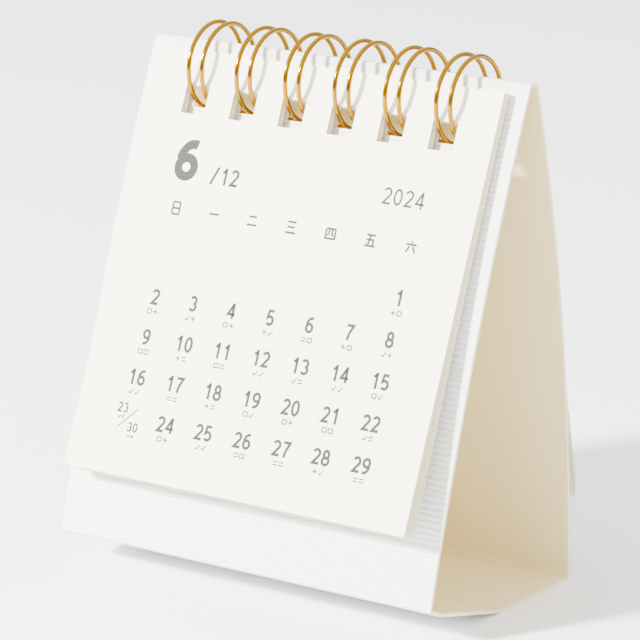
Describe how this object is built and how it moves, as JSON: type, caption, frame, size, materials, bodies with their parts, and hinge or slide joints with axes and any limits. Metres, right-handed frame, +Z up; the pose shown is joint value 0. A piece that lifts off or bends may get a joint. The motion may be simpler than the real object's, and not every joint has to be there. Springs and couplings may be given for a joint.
{
  "type": "tent desk calendar",
  "caption": "Small desk calendar: loose month leaves hung on a twin-loop wire over a folded card easel, with leaves that lift and turn on the wire.",
  "frame": {"origin": "centre of the bounding box's footprint, on the table under the stand", "axes": "+Z up; the current leaf faces -Y; +X runs along the wire to the reader's right"},
  "size_m": [0.096, 0.0646, 0.1141],
  "materials": {
    "stand_card": "matt ribbed card, white outside, cream inside",
    "leaf_paper": "matt uncoated paper",
    "wire": "bright gold-coloured steel wire"
  },
  "bodies": {
    "stand": {"easel_stand": "stand_card", "twin_loop_wire": "wire", "following_leaves": "leaf_paper", "turned_leaves": "leaf_paper"},
    "current": {"current_leaf": "leaf_paper"},
    "last_turned": {"last_turned_leaf": "leaf_paper"}
  },
  "joints": [
    {"name": "current_leaf_turn", "type": "hinge", "parent": "stand", "child": "current", "pos_m": [0, 0.00903, 0.1043], "axis": [-1, 0, 0], "range_deg": [0, 97]},
    {"name": "last_turned_leaf_turn", "type": "hinge", "parent": "stand", "child": "last_turned", "pos_m": [0, 0.00903, 0.1043], "axis": [1, 0, 0], "range_deg": [0, 48.6]}
  ]
}
